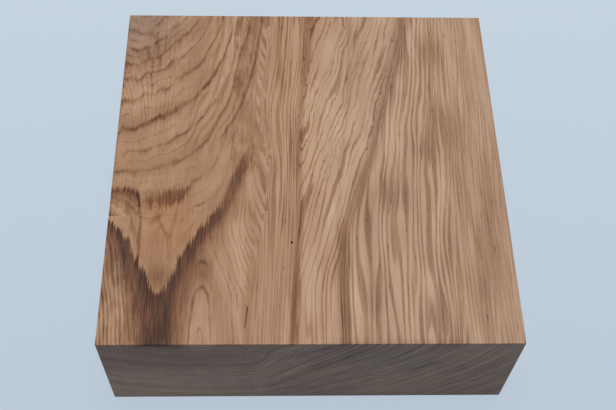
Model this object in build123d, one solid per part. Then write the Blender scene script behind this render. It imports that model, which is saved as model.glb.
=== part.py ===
from build123d import *
import os

# A square blank of figured hardwood, sawn from a plank and planed, ready to be turned into a bowl.
# It is one solid. The grain runs along Y, so the two faces across Y are end grain.
# The origin is at the middle of the base, with +Z up. All sizes are in millimetres.

width = 150.0
depth = 152.5
thickness = 49.5

# The sawn corners are rubbed down by hand, which leaves a small round on every edge.
edge_round = 0.35

# A beetle's pin hole goes straight down from the top face.
pin_hole_radius = 0.5
pin_hole_depth = 4.0
pin_hole_from_left = 68.3
pin_hole_from_front = 40.7

# A short drying check opens the top face near the front, almost along the grain.
# It is a slit with two bowed sides that meet in a point at each end.
check_length = 9.0
check_width = 0.55
check_depth = 1.6
check_from_left = 52.0
check_from_front = 10.4
check_lean = -6.0

# A knock has bruised the left edge of the top face and left a shallow bite.
bruise_radius = 2.4
bruise_bite = 0.6
bruise_from_back = 38.8

top = thickness
left = -width / 2
front, back = -depth / 2, depth / 2


def sawn_block():
    """The plain block, with all its edges rounded."""
    block = Box(width, depth, thickness, align=(Align.CENTER, Align.CENTER, Align.MIN))
    return fillet(block.edges(), edge_round)


def pin_hole():
    """What the beetle took out: a round hole with a blunt cone at its end."""
    place = Location((left + pin_hole_from_left, front + pin_hole_from_front, top))
    to_mouth = (Align.CENTER, Align.CENTER, Align.MAX)
    straight = Cylinder(pin_hole_radius, pin_hole_depth, align=to_mouth)
    end = Cone(pin_hole_radius / 2, pin_hole_radius, pin_hole_radius, align=to_mouth)
    return place * (straight + Pos(0, 0, -pin_hole_depth) * end)


def drying_check():
    """What the check opened: a slit as deep all along, bowed on both sides."""
    half_length, half_width = check_length / 2, check_width / 2
    tip, tail = (0, half_length), (0, -half_length)
    sides = [
        ThreePointArc(tail, (half_width, 0), tip),
        ThreePointArc(tip, (-half_width, 0), tail),
    ]
    slit = extrude(make_face(Wire(sides)), -check_depth)
    place = Location((left + check_from_left, front + check_from_front, top), (0, 0, check_lean))
    return place * slit


def bruise():
    """The bite in the left edge: a ball pressed in from outside, level with the corner."""
    reach = (bruise_radius - bruise_bite) / 2**0.5
    return Pos(left - reach, back - bruise_from_back, top + reach) * Sphere(bruise_radius)


blank = sawn_block() - pin_hole() - drying_check() - bruise()
blank.label = "turning_blank"

os.makedirs("parts", exist_ok=True)
export_step(blank, "parts/turning_blank.step")
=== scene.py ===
import math

import bmesh
import bpy
import numpy as np
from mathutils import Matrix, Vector


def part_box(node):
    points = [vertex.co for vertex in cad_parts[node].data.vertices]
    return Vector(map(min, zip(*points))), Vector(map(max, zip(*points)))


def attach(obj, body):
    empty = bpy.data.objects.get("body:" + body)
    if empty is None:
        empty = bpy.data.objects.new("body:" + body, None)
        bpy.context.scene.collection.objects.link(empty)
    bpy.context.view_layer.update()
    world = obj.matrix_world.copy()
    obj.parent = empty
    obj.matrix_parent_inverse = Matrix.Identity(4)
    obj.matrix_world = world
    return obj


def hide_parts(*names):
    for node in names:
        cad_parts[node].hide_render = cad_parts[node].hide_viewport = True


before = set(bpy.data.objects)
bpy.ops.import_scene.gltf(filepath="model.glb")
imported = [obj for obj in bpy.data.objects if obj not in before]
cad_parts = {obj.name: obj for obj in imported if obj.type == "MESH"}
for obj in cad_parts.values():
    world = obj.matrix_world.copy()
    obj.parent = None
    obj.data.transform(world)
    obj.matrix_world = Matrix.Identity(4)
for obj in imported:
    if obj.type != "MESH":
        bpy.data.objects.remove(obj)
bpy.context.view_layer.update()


# ---------------------------------------------------------------------------------------------
# The blank: one square block of figured hardwood, cut out of a plank on the bandsaw.
# Its two wide faces are planed, its four sides are sawn and sanded, and its corners are
# rubbed down by hand. Nothing is glued or screwed to it.
# ---------------------------------------------------------------------------------------------

mm = 0.001
blank_low, blank_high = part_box("turning_blank")
blank_size = blank_high - blank_low
blank_middle = (blank_low + blank_high) / 2

rubbed_corner = 0.35 * mm
corner_steps = 3
longest_corner_edge = 1 * mm


def cut_across(direction, cuts):
    """Cuts all the edges that run in one direction, other than the corners' own, into equal lengths."""
    bpy.ops.mesh.select_all(action="DESELECT")
    shape = bmesh.from_edit_mesh(bpy.context.object.data)
    for edge in shape.edges:
        run = edge.verts[1].co - edge.verts[0].co
        edge.select_set(abs(run[direction]) > longest_corner_edge)
    bmesh.update_edit_mesh(bpy.context.object.data)
    bpy.ops.mesh.subdivide(number_cuts=cuts)


bpy.ops.object.select_all(action="DESELECT")
bpy.ops.mesh.primitive_cube_add(size=1, location=blank_middle, scale=blank_size)
blank = bpy.context.object
blank.name = "bowl_blank"
bpy.ops.object.transform_apply(location=True, rotation=True, scale=True)

bpy.ops.object.mode_set(mode="EDIT")
bpy.ops.mesh.select_mode(type="EDGE")
bpy.ops.mesh.select_all(action="SELECT")
bpy.ops.mesh.bevel(offset=rubbed_corner, segments=corner_steps, affect="EDGES")
for direction, cuts in ((0, 10), (0, 10), (1, 10), (1, 10), (2, 5), (2, 6)):
    cut_across(direction, cuts)
bpy.ops.object.mode_set(mode="OBJECT")


# The flaws go in next: a beetle's pin hole, a short drying check and a bruise on the left edge.

pin_hole_radius = 0.5 * mm
pin_hole_depth = 4.0 * mm
pin_hole_place = Vector((blank_low.x + 68.3 * mm, blank_low.y + 40.7 * mm, blank_high.z))

check_length = 9.0 * mm
check_width = 0.55 * mm
check_depth = 1.6 * mm
check_lean = math.radians(-6)
check_place = Vector((blank_low.x + 52.0 * mm, blank_low.y + 10.4 * mm, blank_high.z))

bruise_radius = 2.4 * mm
bruise_bite = 0.6 * mm
bruise_reach = (bruise_radius - bruise_bite) / math.sqrt(2)
bruise_place = Vector((blank_low.x, blank_high.y - 38.8 * mm, blank_high.z))
bruise_place += Vector((-bruise_reach, 0, bruise_reach))


def cut_out(cutter):
    """Takes the cutter's shape out of the blank, and throws the cutter away."""
    bpy.ops.object.transform_apply(location=True, rotation=True, scale=True)
    bpy.ops.object.select_all(action="DESELECT")
    bpy.context.view_layer.objects.active = blank
    blank.select_set(True)
    cut = blank.modifiers.new("cut", "BOOLEAN")
    cut.operation = "DIFFERENCE"
    cut.solver = "EXACT"
    cut.object = cutter
    bpy.ops.object.modifier_apply(modifier=cut.name)
    bpy.data.objects.remove(cutter)


bpy.ops.object.select_all(action="DESELECT")
bpy.ops.mesh.primitive_cylinder_add(
    vertices=20, radius=pin_hole_radius, depth=2 * pin_hole_depth, location=pin_hole_place
)
cut_out(bpy.context.object)

bpy.ops.object.select_all(action="DESELECT")
bpy.ops.mesh.primitive_cylinder_add(
    vertices=16, radius=0.5, depth=1, location=check_place, rotation=(0, 0, check_lean)
)
bpy.context.object.scale = (check_width, check_length, 2 * check_depth)
cut_out(bpy.context.object)

bpy.ops.object.select_all(action="DESELECT")
bpy.ops.mesh.primitive_ico_sphere_add(
    subdivisions=4, radius=bruise_radius, location=bruise_place
)
cut_out(bpy.context.object)
bpy.ops.object.shade_smooth_by_angle(angle=math.radians(40))


# The growth rings run through the whole block. Each point's ring number is worked out from
# where it lies in the tree, in millimetres across (x), along the grain (y) and below the top.

ring_spacing = 1.4
pith_across = -40.0
pith_above_top = 80.0


def eased(start, end, value):
    """0 at start and 1 at end, with a smooth climb in between."""
    share = np.clip((value - start) / (end - start), 0, 1)
    return share * share * (3 - 2 * share)


def higher(first, second, blend):
    """The higher of two slopes, rounded where they meet."""
    share = np.clip(0.5 + 0.5 * (first - second) / blend, 0, 1)
    return second + (first - second) * share + blend * share * (1 - share)


def lower(first, second, blend):
    """The lower of two slopes, rounded where they meet."""
    return -higher(-first, -second, blend)


def along_grain(y, *points):
    """Where a line that follows the grain lies across the blank, from a few (y, x) points."""
    ys, xs = zip(*points)
    return sum(np.interp(y + shift, ys, xs) for shift in (-5, -2.5, 0, 2.5, 5)) / 5


def fine_edge(y):
    """The dark broken line left of the fine straight grain."""
    back_half = ((25, -23), (50, -20.5), (76, -18.5))
    return along_grain(y, (-76, -22.5), (-50, -21.5), (-17, -20.5), (0, -19), *back_half)


def first_stripe(y):
    """The dark stripe near the middle."""
    return along_grain(y, (-76, -6.8), (-50, -5), (-25, -4), (10, -3.5), (30, -2.5), (50, 0), (76, 1.5))


def second_stripe(y):
    """The dark stripe that leans to the right."""
    back_half = ((0, 24), (20, 28), (40, 33), (60, 38), (76, 42))
    return along_grain(y, (-76, 11.5), (-50, 12), (-30, 13), (-10, 20), *back_half)


def swirl_seam(y):
    """The dark broken seam down the right side of the swirl."""
    return along_grain(y, (8, -36), (18, -31), (25, -27.5), (35, -24.5), (50, -21.5), (60, -20), (76, -18.5))


def dark_seam(x, y):
    """How far across a point is from the nearest dark seam, where each seam is a line along the grain."""
    front_left = x - along_grain(y, (-50, -63), (-25, -63), (-15, -64.5), (-8, -65))
    heart_left = x - np.interp(y, (-44, -35, -31, -27, -20), (-51.6, -52.2, -54, -56.2, -57.8))
    heart_right = x - np.interp(y, (-44, -35, -30, -20), (-50.8, -51.6, -50.4, -49.6))
    heart = heart_left * heart_right / np.maximum(heart_left - heart_right, 1.5)
    return np.where(y > 0, x - swirl_seam(y), np.where(x < -60.4, front_left, heart))


# The swirl's rings by their distance from its middle, off the back left of the block.
swirl_middle_across = -70
swirl_middle_along = 85
swirl_reaches = (0, 28, 36, 44, 54.5, 68.5, 80, 90, 101, 139, 239)
swirl_rings = (0, 3, 4, 5, 6, 7, 8, 9, 10, 14, 34)


def rings_on_top(x, y):
    """The ring number on the planed top face."""
    # The swirl is a bowl of rings at the back left, with a hill of rings in front of it.
    from_middle = x - swirl_middle_across
    wide = from_middle * 1.2 / (1 - np.clip(from_middle / 55, -0.5, 0.93) ** 4)
    deep = swirl_middle_along - np.maximum(y, -33) + 0.35 * eased(-20, 30, y) * np.maximum(from_middle, 0)
    bowl = np.interp(np.hypot(wide, deep), swirl_reaches, swirl_rings)

    left_slope = 9.6 - np.where(y > -14, 0.15, 0.06) * (np.maximum(y, -40) + 14)
    left_slope += 0.67 * eased(-8, -38, y) * (-60.5 - x - 0.14 * (y + 50))
    hill = 10 + 0.27 * (np.hypot(x + 39.2, 2.5) - 2.5)
    hill += 0.1 * np.maximum(y + 44, -13) + 0.015 * np.minimum(y + 57, 0)
    swirl = lower(bowl, hill, 2.5)
    swirl = higher(swirl, left_slope, 1.0)

    # Right of it come the fine straight grain, the slanting grain and the broad bands.
    fine, first, second = fine_edge(y), first_stripe(y), second_stripe(y)
    in_fine = x - fine
    fine_straight = 13.9 + np.where(in_fine > 0, 12 * in_fine / (first - fine), 2.5 * in_fine)
    slanting = 38 - 0.42 * (23 + along_grain(y, (-76, -9), (-50, -8), (-20, 0), (76, 28)) - x)
    lean = along_grain(y, (-76, 0), (-30, 0.5), (10, 4), (50, 9), (76, 11)) * np.clip((75 - x) / 30, 0, 1.2)
    over = (x - lean - 11.5) / 63.5
    right_hand = 38 + 22 * over + 9 * np.where(over < 1, np.maximum(over, 0) ** 3, 3 * over - 2)
    straight = fine_straight + (slanting - fine_straight) * eased(-1, 1, x - first)
    straight += (right_hand - straight) * eased(-1.5, 1.5, x - second)
    return np.where(x < fine + 4, higher(swirl, straight, 1.0), straight)


def up_the_ring(x, below):
    """Where the ring that passes through a point comes out on the top face."""
    out = pith_across + np.sqrt((x - pith_across) ** 2 + 2 * pith_above_top * below + below**2)
    return x + (out - x) * eased(-30, 0, x)


def plain_rings(x, below):
    """The ring number where the wood has no figure, on circles around the pith."""
    return 15 + (np.hypot(x - pith_across, pith_above_top + below) - pith_above_top) / ring_spacing


def rings_in_block(x, y, below):
    """The ring number anywhere in the block. The figure of the top dies away into plain rings."""
    out = up_the_ring(x, below)
    figure = rings_on_top(out, y) - plain_rings(out, 0)
    kept = np.exp(-below / (3 + 28 * eased(-60, 60, y) + 60 * eased(-25, 20, x)))
    sway = 1.6 * np.sin(y / 31 + x / 60 + 0.8) * (1 - kept)
    return plain_rings(x, below) + figure * kept + sway


# The dark heart stain is a V at the front left, with a brown band behind it. The V's inner
# edges are sharp, and it fades outwards. Points on the V are (along, across) in millimetres.

stain_left = ((-64, -54.5), (-57, -55.5), (-53, -57), (-50, -58.5), (-47, -60), (-45.5, -62), (-41, -63.5))
stain_left += ((-37, -65.5), (-33, -67), (-30, -70), (-27, -72), (-25.5, -75), (-18, -84))
stain_right = ((-64, -54), (-57, -53), (-50, -51), (-45, -49), (-41, -47), (-37, -46), (-33, -43), (-27, -40))
stain_right += ((-25, -37), (-20, -34), (-15, -32), (-10, -31), (-5, -29.5), (3, -26), (20, -20))

# The brown band's back and front edges: across, then along at each of those.
band_back_across = (-75, -70, -67, -64.6, -64, -62, -60, -55, -50, -46, -43)
band_back_along = (-11.5, -11.5, -13, -13.6, -18, -17, -14.5, -12.5, -12, -10.5, -6)
band_front_across = (-62, -60, -52, -48, -46, -43)
band_front_along = (-19, -20.5, -20, -17.5, -14, -9)
band_gap = -64.3


def soft_spot(x, y, middle_x, middle_y, half_x, half_y):
    """1 in the middle of an oval patch, and 0 a little outside it."""
    return np.exp(-(((x - middle_x) / half_x) ** 2 + ((y - middle_y) / half_y) ** 2))


def heart_stain(x, y):
    """How far inside the stain a point is, in millimetres, and how dark the stain is there."""
    out_left = along_grain(y, *stain_left) - x
    out_right = x - along_grain(y, *stain_right)
    left_dark = np.exp(-np.maximum(out_left - 2.5, 0) / 6.5) * eased(-17, -27, y) * eased(-6, -3, out_left)
    right_dark = np.exp(-np.maximum(out_right - 4, 0) / (3.8 - 2.2 * eased(-28, -14, y)))
    right_dark = right_dark * eased(11, -4, y) * eased(-6, -3, out_right)
    right_dark *= 0.66 + 0.24 * eased(-12, -34, y)
    root_dark = eased(-44, -60, y) * eased(-66, -58.5, x) * eased(-47, -52.5, x)
    cores = np.maximum(np.exp(-(((x + 58.6) / 1.8) ** 2)), np.exp(-(((x + 52.6) / 1.6) ** 2)))
    root_dark *= 0.55 + 0.36 * cores
    limbs = np.maximum(out_left, out_right) + 4 * eased(-53, -62, y)

    behind = np.interp(x, band_back_across, band_back_along) - y
    before = y - np.interp(x, band_front_across, band_front_along)
    left_of_gap = x < band_gap
    band = np.where(left_of_gap, behind, 0.6 * np.minimum(behind, before))
    band_dark = np.where(left_of_gap, 0.85 * np.exp(-np.maximum(behind - 1, 0) / 4), 0.62)
    band_dark = band_dark * eased(-41, -46, x)
    in_band = (band > -3) & (y > -24) & (x < -42)
    inside = np.where(in_band, np.maximum(band, limbs), limbs)
    dark = np.maximum.reduce([left_dark, right_dark, root_dark, np.where(in_band, band_dark, 0)])
    return inside, dark


def stripe(x, middle, half_width):
    """1 in the middle of a stripe along the grain, and 0 a little outside it."""
    return np.exp(-(((x - middle) / half_width) ** 4))


def blotches(x, y):
    """The darker patches of the right side, where the pale wood between the rings runs out."""
    patches = soft_spot(x, y, 52, 57, 5, 10)
    patches += soft_spot(x, y, 54, 21, 6, 11)
    patches += soft_spot(x, y, 46, -66, 4.5, 12)
    patches += soft_spot(x, y, 47, 6, 3, 7)
    patches += 0.7 * soft_spot(x, y, 31, -14, 5, 8)
    patches += 0.7 * soft_spot(x, y, 64, -40, 5, 18)
    return patches


def tone_of_wood(x, y):
    """Lighter (above 0) or darker (below 0) than the common tone."""
    first, second = first_stripe(y), second_stripe(y)
    thin = along_grain(y, (-76, 8.5), (0, 12), (20, 15.5), (50, 17.5), (76, 19))
    second_width = 1.9 + 1.0 * eased(-30, 10, y) + 1.3 * eased(45, 70, y)

    # The three stripes, and the pale wood between them.
    tone = -(0.22 + 0.12 * eased(-30, -60, y)) * stripe(x, first, 1.4 + eased(40, 70, y))
    tone -= (0.18 + 0.16 * eased(-15, -40, y)) * stripe(x, second, second_width)
    tone -= 0.12 * stripe(x, thin, 0.9)
    tone += 0.05 * eased(0, 3, x - first) * eased(0, 3, second - x)
    tone += 0.03 * soft_spot(x, y, 22, 35, 5, 25)
    tone -= 0.11 * soft_spot(x, y, 10, 70, 12, 14)
    tone -= 0.02 * eased(-30, -20, x) * eased(0, 3, first - x)
    tone += 0.08 * eased(0, 4, x - second) * eased(-10, 30, y)
    tone -= 0.06 * blotches(x, y)
    tone -= 0.09 * eased(-20, -40, x) * eased(-15, 5, y) * eased(80, 60, y)

    # Around the V: the hill, the brown shade in its point, and the pale pocket on its right.
    tone += 0.08 * soft_spot(x, y, -40, -70, 4, 10)
    tone -= 0.18 * soft_spot(x, y, -38, -49, 2.5, 6)
    tone -= 0.28 * soft_spot(x, y, -54.5, -49.5, 4.5, 5)
    tone += 0.08 * soft_spot(x, y, -28, -38, 5, 22)
    tone -= 0.15 * soft_spot(x, y, -21.5, -24, 2.4, 6)
    tone += 0.16 * soft_spot(x, y, -21.5, -7, 2.8, 8)
    tone -= 0.10 * stripe(x, -22.2, 1.6) * eased(-34, -44, y)

    # The back left corner, the fan in front of it, and the rim along the front edge.
    tone -= 0.20 * soft_spot(x, y, -72, 72, 20, 16)
    tone += 0.09 * soft_spot(x, y, -68, 40, 9, 18)
    tone -= 0.12 * eased(-74.0, -75.4, y) * eased(0, 12, x) * eased(56, 48, x)
    return tone


def grey_of_wood(x, y):
    """Where the wood is greyer (above 0) or warmer (below 0) than the common colour."""
    grey = 0.8 * soft_spot(x, y, -75, 76, 20, 20) + 0.3 * soft_spot(x, y, -69, -44, 4, 14)
    grey += 0.30 * eased(0, 30, x)
    return grey - 0.40 * soft_spot(x, y, -54, -26, 12, 16)


def by_zone(x, y, swirl, fine, slanting, right, edge):
    """A value for each zone across the blank, from the swirl on the left to the right edge."""
    past_fine = eased(-1, 2, x - fine_edge(y))
    past_first = eased(-1, 1, x - first_stripe(y))
    past_second = eased(-1, 1, x - second_stripe(y))
    past_right = eased(45, 66, x)
    value = swirl + (fine - swirl) * past_fine
    value = value + (slanting - value) * past_first
    value = value + (right - value) * past_second
    return value + (edge - value) * past_right


# The values are worked out at each point of the block's surface, and kept with it.

vertex_count = len(blank.data.vertices)
places = np.empty(vertex_count * 3, np.float32)
blank.data.vertices.foreach_get("co", places)
places = (places.reshape(-1, 3) - np.array((blank_middle.x, blank_middle.y, blank_high.z))) / mm
normals = np.empty(vertex_count * 3, np.float32)
blank.data.vertices.foreach_get("normal", normals)
normals = normals.reshape(-1, 3)
across, along, below = places[:, 0], places[:, 1], -places[:, 2]


def rings_at(points):
    """The ring number at each of these points of the block."""
    return rings_in_block(points[:, 0], points[:, 1], -points[:, 2])


rings = rings_at(places)
slope = np.empty((vertex_count, 3))
for direction in range(3):
    step = np.zeros(3)
    step[direction] = 0.5
    slope[:, direction] = rings_at(places + step) - rings_at(places - step)
slope -= normals * np.sum(slope * normals, axis=1, keepdims=True)
crowding = np.linalg.norm(slope, axis=1)

# The figure of the top fades as the wood goes down, over this many millimetres.
figure_depth = 8
swirl_depth = 3
stain_depth = 2.5

near_top = np.exp(-below / figure_depth)
at_top = 0.15 + 0.85 * near_top
out = up_the_ring(across, below)
stain_inside, stain_dark = heart_stain(out, along)
end_shade = 0.10 * eased(8, 40, below) * eased(0, -50, across)
end_shade -= 0.20 * eased(28, 12, below) * eased(0, -40, across)
front_left = eased(-62, -68, across) * eased(-28, -42, along) * (1 - stain_dark)
plain_heart = 1 - 0.8 * soft_spot(across, along, -55, -42, 8, 9)
plain_patch = 1 - 0.7 * soft_spot(out, along, 22, 35, 5, 25)
plain_patch *= 1 - 0.5 * eased(-15, -45, along) * eased(second_stripe(along), first_stripe(along), out)
steep = across - swirl_seam(along)
clear = 1 - 0.55 * eased(-7, -3, steep) * eased(10, 20, along)
clear -= 0.6 * soft_spot(across, along, -21.5, -9, 4, 8)
on_slope = eased(-36, -32, across) * eased(-2, -14, along)
calm = eased(-37, -31, across) * eased(-5, -18, along) + eased(-61, -66, across) * eased(-25, -35, along)
fan_lean = 0.025 * np.maximum(-60 - across, 0) * (along - 30)
fan_strength = eased(-50, -58, across) * eased(14, 22, along) * eased(72, 62, along)
fan_strength += 0.7 * eased(-52, -56, across) * eased(-68, -64, across)
fan_strength *= 0.8
fan_strength += 1.1 * eased(-22, -17, steep) * eased(0, -2, steep) * eased(-51, -47, across)
seam_strength = eased(9, 16, along)
seam_strength += eased(-12, -16, along) * eased(-47, -44, along) * eased(-60, -61, across)
in_heart = soft_spot(across, along, -53, -30, 7, 40) ** 2
seam_strength += 0.8 * eased(-18, -22, along) * eased(-45, -42, along) * in_heart

swirl = by_zone(out, along, 1, 0, 0, 0, 0) * np.exp(-below / swirl_depth)
swirl = swirl * (1 - 0.75 * stain_dark) * plain_heart * clear
dark_depth = by_zone(out, along, 0.0, 0.30, 0.36, 0.32, 0.15) * plain_patch + 0.26 * front_left
dark_depth_below = 0.32
fields = {
    "rings": rings,
    "crowding": crowding,
    "stain_inside": stain_inside,
    "stain_dark": stain_dark * np.exp(-below / stain_depth),
    "shaded": 1 - 0.75 * on_slope,
    "stain_rough": 1 - 0.65 * eased(-24, -16, along) * eased(-46, -42, across),
    "tone": tone_of_wood(out, along) * near_top + end_shade * (1 - near_top),
    "grey": grey_of_wood(out, along) * near_top,
    "swirl": swirl,
    "sway": by_zone(out, along, 1.9, 0.35, 1.3, 0.6, 0.3) * (1 - 0.5 * calm) * at_top,
    "ripple": by_zone(out, along, 1.1, 0.10, 0.5, 0.2, 0.08) * (1 - 0.85 * calm) * at_top,
    "dark_share": by_zone(out, along, 0.3, 0.42, 0.22, 0.40, 0.5) + 0.65 * blotches(out, along),
    "dark_depth": dark_depth * at_top + dark_depth_below * (1 - at_top),
    "fan": np.where(across < -51, (across + fan_lean) / 1.6, steep / 3.3),
    "fan_strength": fan_strength * eased(0, 8, along) * near_top,
    "seam": dark_seam(across, along),
    "seam_strength": seam_strength * near_top,
}
for name, values in fields.items():
    field = blank.data.attributes.new(name, "FLOAT", "POINT")
    field.data.foreach_set("value", values.astype(np.float32))


# The finish is bare planed hardwood. The rings give its bands and thin dark lines, the stain
# its dark heart, and fibres and pores run along the grain.

wood = bpy.data.materials.new("figured hardwood")
wood.use_nodes = True
wood.node_tree.nodes.clear()


def put(kind, inputs=None, **settings):
    """Puts a node in the wood's finish, with its settings and what feeds each input."""
    node = wood.node_tree.nodes.new(kind)
    for name, value in settings.items():
        setattr(node, name, value)
    for name, value in (inputs or {}).items():
        if isinstance(value, bpy.types.NodeSocket):
            wood.node_tree.links.new(value, node.inputs[name])
        else:
            node.inputs[name].default_value = value
    return node


def maths(operation, *values, clamp=False):
    """The result of one sum on numbers or other results."""
    node = put("ShaderNodeMath", dict(enumerate(values)), operation=operation, use_clamp=clamp)
    return node.outputs[0]


def plus(*values):
    """All the values added up."""
    total = values[0]
    for value in values[1:]:
        total = maths("ADD", total, value)
    return total


def times(*values):
    """All the values multiplied."""
    total = values[0]
    for value in values[1:]:
        total = maths("MULTIPLY", total, value)
    return total


def ramp(value, start, end, at_start=0.0, at_end=1.0):
    """A smooth change from at_start to at_end as value goes from start to end."""
    node = put(
        "ShaderNodeMapRange",
        {"Value": value, "From Min": start, "From Max": end, "To Min": at_start, "To Max": at_end},
        interpolation_type="SMOOTHSTEP",
    )
    return node.outputs["Result"]


def field_value(name):
    """A value that was worked out for each point of the block."""
    return put("ShaderNodeAttribute", attribute_name=name).outputs["Fac"]


place = put("ShaderNodeTexCoord").outputs["Object"]


def grain(across_mm, along_mm, through_mm, shift, detail=2.0, roughness=0.5):
    """Noise from -1 to 1 whose grains have these sizes across, along and through the wood."""
    sized = put(
        "ShaderNodeMapping",
        {"Vector": place, "Location": shift, "Scale": (1000 / across_mm, 1000 / along_mm, 1000 / through_mm)},
    )
    noise = put(
        "ShaderNodeTexNoise",
        {"Vector": sized.outputs[0], "Scale": 1.0, "Detail": detail, "Roughness": roughness},
    )
    return plus(times(noise.outputs["Fac"], 4.0), -2.0)


def linear(red, green, blue):
    """A colour as the eye's 0 to 255 steps, turned into amounts of light."""
    steps = (red / 255, green / 255, blue / 255)
    light = [s / 12.92 if s <= 0.04045 else ((s + 0.055) / 1.055) ** 2.4 for s in steps]
    return (*light, 1.0)


# The rings wander a little from their smooth lines, most in the swirl.
crowded = maths("MAXIMUM", field_value("crowding"), 0.05)
teeth = grain(0.9, 8, 0.9, (7, 5, 1), detail=2)
wander = plus(
    times(grain(10, 34, 10, (3, 1, 2), detail=1), field_value("sway")),
    times(plus(grain(4, 9, 4, (2, 6, 8), detail=1), times(teeth, 0.6)), field_value("ripple")),
)
ring = plus(field_value("rings"), times(crowded, wander))

# Bands follow the rings, and come and go along the grain, because the noise that makes them
# is stretched over ring number and length, and not over width.
apart = put("ShaderNodeSeparateXYZ", {"Vector": place})


def ring_noise(finer, along_mm, detail=1.0, shift=0.0):
    """Noise from -1 to 1 that follows the rings, with so many grains to a ring."""
    in_rings = put(
        "ShaderNodeCombineXYZ",
        {
            "X": plus(times(ring, finer), shift),
            "Y": times(apart.outputs["Y"], 1000 / along_mm),
            "Z": times(apart.outputs["Z"], 1000 / 40),
        },
    )
    noise = put("ShaderNodeTexNoise", {"Vector": in_rings.outputs[0], "Scale": 1.0, "Detail": detail})
    return plus(times(noise.outputs["Fac"], 4.0), -2.0)


# No two rings are as wide. Outside the swirl each starts with a dark porous band, whose share
# of the ring grows and shrinks along the grain, so the pale wood between runs out in flames.
uneven_ring = plus(ring, times(ring_noise(0.45, 60), 0.80, plus(1.0, times(field_value("swirl"), -1.0))))
through_ring = maths("FRACT", uneven_ring)
dark_share = plus(field_value("dark_share"), times(ring_noise(0.8, 30, shift=7.0), 0.32))
dark_share = maths("MAXIMUM", dark_share, 0.06)
dark_start = ramp(through_ring, 0.0, 0.16)
dark_end = ramp(plus(through_ring, times(dark_share, -1.0)), 0.0, 0.24, 1.0, 0.0)
dark_band = times(dark_start, dark_end, ramp(ring_noise(1.3, 24, shift=3.0), -1.0, 0.6, 0.40, 1.0))
soft_band = times(ring_noise(0.35, 40, detail=2, shift=11.0), 0.11)

# In the swirl a thin dark line ends each ring, with a brown shade that comes and goes behind it.
past_line = maths("DIVIDE", through_ring, crowded)
short_of_line = maths("DIVIDE", plus(1.0, times(through_ring, -1.0)), crowded)
line_patchy = ramp(grain(3, 12, 3, (11, 2, 9), detail=1), -0.9, 0.5, 0.30, 1.0)
line = maths("MAXIMUM", ramp(past_line, 0.0, 0.7, 1.0, 0.0), ramp(short_of_line, 0.0, 0.35, 1.0, 0.0))
line = times(line, line_patchy)
shade_patchy = ramp(grain(5, 9, 5, (1, 12, 9), detail=2), -0.6, 0.6)
shade = maths("MAXIMUM", ramp(past_line, 0.0, 3.6, 1.0, 0.0), ramp(short_of_line, 0.0, 2.2, 1.0, 0.0))
shade = times(shade, shade_patchy, field_value("shaded"))

# Where the rings are wide there are false rings half way between them, which come and go.
false_ring = maths("DIVIDE", maths("ABSOLUTE", plus(through_ring, -0.52)), crowded)
false_ring = times(ramp(false_ring, 0.0, 0.6, 1.0, 0.0), ramp(crowded, 0.28, 0.5, 1.0, 0.0))
false_ring = times(false_ring, ramp(grain(5, 12, 5, (1, 2, 9), detail=1), -0.5, 0.4))


def marked_ring(number, half_width):
    """One ring of the swirl that is darker than the others."""
    return ramp(maths("ABSOLUTE", plus(ring, -number)), 0.0, half_width, 1.0, 0.0)


marked = plus(
    times(marked_ring(4.0, 0.14), 0.5),
    times(marked_ring(5.0, 0.14), 0.5),
    times(marked_ring(6.0, 0.14), 0.6),
    times(marked_ring(7.0, 0.16), 1.0),
    times(marked_ring(9.05, 0.14), 0.7),
)
marked = times(marked, ramp(grain(5, 10, 5, (4, 7, 2), detail=1), -0.9, 0.5, 0.35, 1.0))

# Fibres and pores run along the grain everywhere, and broad clouds vary the tone.
fibre = grain(0.5, 14, 0.5, (1, 8, 4), detail=3, roughness=0.6)
cloud = grain(7, 32, 7, (5, 5, 5), detail=2)
pore = ramp(grain(0.42, 4.0, 0.42, (9, 3, 3), detail=0), 0.75, 1.25)
pore = times(pore, plus(0.30, times(dark_band, 0.6)))

# Fine lines fan out across the rings at the back left, and steeper ones stand further right.
# Both step aside a little at each ring.
ring_step = put("ShaderNodeTexWhiteNoise", {"W": maths("FLOOR", ring)}, noise_dimensions="1D")
fan_wander = plus(times(teeth, 0.10), times(grain(5, 26, 5, (4, 4, 1)), 0.35))
fan_phase = plus(field_value("fan"), fan_wander, times(ring_step.outputs[0], 0.5))
fan_line = ramp(maths("ABSOLUTE", plus(maths("FRACT", fan_phase), -0.5)), 0.0, 0.30, 1.0, 0.0)
fan_line = times(fan_line, field_value("fan_strength"), ramp(grain(3, 12, 3, (3, 9, 3), detail=1), -0.9, 0.4))

# The seams are dark lines along the grain, broken here and there.
seam = plus(field_value("seam"), times(teeth, 0.30), times(grain(3, 12, 3, (8, 8, 2)), 0.45))
seam = times(ramp(maths("ABSOLUTE", seam), 0.15, 1.0, 1.0, 0.0), field_value("seam_strength"))
seam = times(seam, ramp(grain(2, 9, 2, (6, 1, 7), detail=1), -1.0, 0.1, 0.55, 1.0))

# The stain's edge is ragged, because it creeps along the fibres.
streaks = grain(0.5, 12, 0.5, (2, 2, 6), detail=1)
stain_ragged = plus(times(streaks, 1.3), times(grain(2.4, 9, 2.4, (6, 2, 6)), 1.0))
stain_edge = plus(field_value("stain_inside"), times(stain_ragged, field_value("stain_rough")))
stain = ramp(stain_edge, -0.8, 1.4)
stain = times(stain, field_value("stain_dark"), plus(1.0, times(streaks, 0.28)))

# End grain is what faces the front or the back. Its tone varies in broad patches.
end_face = put("ShaderNodeSeparateXYZ", {"Vector": put("ShaderNodeTexCoord").outputs["Normal"]})
end_grain = ramp(maths("ABSOLUTE", end_face.outputs["Y"]), 0.45, 0.85)
end_patches = grain(38, 60, 13, (3, 3, 6), detail=2)

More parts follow.
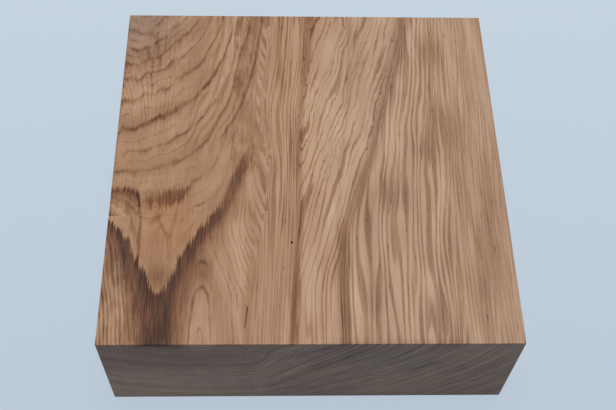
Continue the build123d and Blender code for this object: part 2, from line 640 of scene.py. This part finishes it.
# All of it adds up to one tone, from 0 for the darkest heart to 1 for the palest wood.
dark_line = maths("MAXIMUM", times(line, 0.20), times(marked, 0.26))
swirl_lines = plus(times(dark_line, -1.0), times(shade, -0.22), times(false_ring, -0.20))
swirl_bands = times(ring_noise(1.1, 16, detail=2, shift=5.0), field_value("shaded"), 0.12)
swirl_lines = plus(swirl_lines, swirl_bands, 0.07)
tone = plus(
    0.64,
    field_value("tone"),
    times(dark_band, field_value("dark_depth"), -1.0),
    plus(soft_band, times(field_value("dark_depth"), 0.36)),
    times(swirl_lines, field_value("swirl")),
    times(fan_line, -0.15),
    times(ring_noise(2.2, 60, shift=9.0), end_grain, 0.07),
    times(seam, -0.27),
    times(fibre, 0.075),
    times(cloud, 0.06),
    times(pore, -0.26),
    times(stain, -0.58),
)
palette = put("ShaderNodeValToRGB", {"Fac": tone})
stops = palette.color_ramp.elements
stops[0].position, stops[0].color = 0.0, linear(72, 46, 34)
stops[1].position, stops[1].color = 1.0, linear(208, 176, 146)
between = ((0.22, (116, 78, 56)), (0.42, (145, 106, 78)), (0.60, (166, 127, 98)), (0.80, (188, 153, 124)))
for position, colour in between:
    stops.new(position).color = linear(*colour)

# Sawn end grain is darker and greyer than long grain.
greyer = plus(1.0, times(field_value("grey"), -0.27), times(end_grain, plus(-0.26, times(end_patches, 0.10))))
darker = plus(1.0, times(end_grain, plus(-0.475, times(end_patches, 0.07))))
colour = put(
    "ShaderNodeHueSaturation",
    {"Color": palette.outputs["Color"], "Saturation": greyer, "Value": darker},
)

relief = plus(times(line, -0.5), times(fibre, 0.25), times(pore, -1.0))
bump = put("ShaderNodeBump", {"Height": relief, "Strength": 0.25, "Distance": 0.00008})
finish = put(
    "ShaderNodeBsdfPrincipled",
    {
        "Base Color": colour.outputs["Color"],
        "Roughness": ramp(fibre, -1.0, 1.0, 0.62, 0.50),
        "Specular IOR Level": 0.2,
        "Normal": bump.outputs["Normal"],
    },
)
put("ShaderNodeOutputMaterial", {"Surface": finish.outputs["BSDF"]})
blank.data.materials.clear()
blank.data.materials.append(wood)

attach(blank, "root")
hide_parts("turning_blank")


# ---------------------------------------------------------------------------------------------
# The table: a wide sheet of pale blue-grey card that the blank stands on, seen all round it.
# It is matt and plain. Where it is seen it mostly glows, so that it stays pale, and it lights the
# blank only as plain card would. Its glow is painted light, a little lighter towards the back.
# ---------------------------------------------------------------------------------------------

bpy.ops.object.select_all(action="DESELECT")
card_size = 6
# Where the glow's painted light starts to grow lighter, and where it stops, from front to back.
painted_falloff_front, painted_falloff_back = -0.12, 0.16
card_glow = 0.85
bpy.ops.mesh.primitive_plane_add(size=card_size, location=(blank_middle.x, blank_middle.y, blank_low.z))
card = bpy.context.object
card.name = "card"
pale = bpy.data.materials.new("pale card")
pale.use_nodes = True
pale_nodes, pale_links = pale.node_tree.nodes, pale.node_tree.links
matt = pale_nodes["Principled BSDF"]
matt.inputs["Base Color"].default_value = linear(200, 212, 224)
matt.inputs["Roughness"].default_value = 0.9
glow = pale_nodes.new("ShaderNodeEmission")
card_place = pale_nodes.new("ShaderNodeTexCoord")
card_apart = pale_nodes.new("ShaderNodeSeparateXYZ")
towards_back = pale_nodes.new("ShaderNodeMapRange")
towards_back.inputs["From Min"].default_value = painted_falloff_front
towards_back.inputs["From Max"].default_value = painted_falloff_back
# The glow's colour is painted light: darker at the front of the card and lighter towards the back.
painted_falloff_colours = pale_nodes.new("ShaderNodeValToRGB")
painted_falloff_colours.color_ramp.elements[0].color = linear(187, 201, 216)
painted_falloff_colours.color_ramp.elements[1].color = linear(200, 214, 226)
pale_links.new(card_place.outputs["Object"], card_apart.inputs[0])
pale_links.new(card_apart.outputs["Y"], towards_back.inputs["Value"])
pale_links.new(towards_back.outputs[0], painted_falloff_colours.inputs["Fac"])
pale_links.new(painted_falloff_colours.outputs["Color"], glow.inputs["Color"])
seen = pale_nodes.new("ShaderNodeLightPath")
seen_or_mirrored = pale_nodes.new("ShaderNodeMath")
seen_or_mirrored.operation = "MAXIMUM"
share = pale_nodes.new("ShaderNodeMath")
share.operation = "MULTIPLY"
share.inputs[1].default_value = card_glow
both = pale_nodes.new("ShaderNodeMixShader")
pale_links.new(seen.outputs["Is Camera Ray"], seen_or_mirrored.inputs[0])
pale_links.new(seen.outputs["Is Glossy Ray"], seen_or_mirrored.inputs[1])
pale_links.new(seen_or_mirrored.outputs[0], share.inputs[0])
pale_links.new(share.outputs[0], both.inputs["Fac"])
pale_links.new(matt.outputs["BSDF"], both.inputs[1])
pale_links.new(glow.outputs["Emission"], both.inputs[2])
pale_links.new(both.outputs[0], pale_nodes["Material Output"].inputs["Surface"])
card.data.materials.append(pale)


# ---------------------------------------------------------------------------------------------
# The light: one large soft panel straight overhead, in a room with pale walls. The walls send
# a dim even light from all round, and are seen as pale as the card where it ends.
# ---------------------------------------------------------------------------------------------

panel_height = 1.3
panel_width, panel_depth = 0.6, 0.4
panel_watts = 10.5
wall_light = 0.40

bpy.ops.object.light_add(type="AREA", location=(0, 0, panel_height))
panel = bpy.context.object
panel.data.shape = "RECTANGLE"
panel.data.size = panel_width
panel.data.size_y = panel_depth
panel.data.energy = panel_watts
panel.rotation_euler = (Vector((0, 0, 0)) - panel.location).to_track_quat("-Z", "Y").to_euler()

room = bpy.data.worlds.new("pale room")
room.use_nodes = True
room_nodes, room_links = room.node_tree.nodes, room.node_tree.links
walls = room_nodes["Background"]
walls.inputs["Color"].default_value = linear(232, 233, 235)
walls.inputs["Strength"].default_value = wall_light
walls_seen = room_nodes.new("ShaderNodeBackground")
walls_seen.inputs["Color"].default_value = linear(200, 214, 226)
looked_at = room_nodes.new("ShaderNodeLightPath")
room_mix = room_nodes.new("ShaderNodeMixShader")
room_links.new(looked_at.outputs["Is Camera Ray"], room_mix.inputs["Fac"])
room_links.new(walls.outputs[0], room_mix.inputs[1])
room_links.new(walls_seen.outputs[0], room_mix.inputs[2])
room_links.new(room_mix.outputs[0], room_nodes["World Output"].inputs["Surface"])
bpy.context.scene.world = room


# ---------------------------------------------------------------------------------------------
# The camera: held above the front edge of the blank and a little left of its middle, looking
# down at the top face, so that only a low strip of the front end grain shows.
# ---------------------------------------------------------------------------------------------

lens = bpy.data.cameras.new("camera")
lens.lens = 56.81
lens.sensor_width = 36
camera = bpy.data.objects.new("camera", lens)
camera.location = (-0.01274, -0.21336, 0.36094)
camera.rotation_euler = (0.55745, -0.02883, -0.01673)
bpy.context.scene.collection.objects.link(camera)
bpy.context.scene.camera = camera
bpy.context.scene.view_settings.view_transform = "Standard"
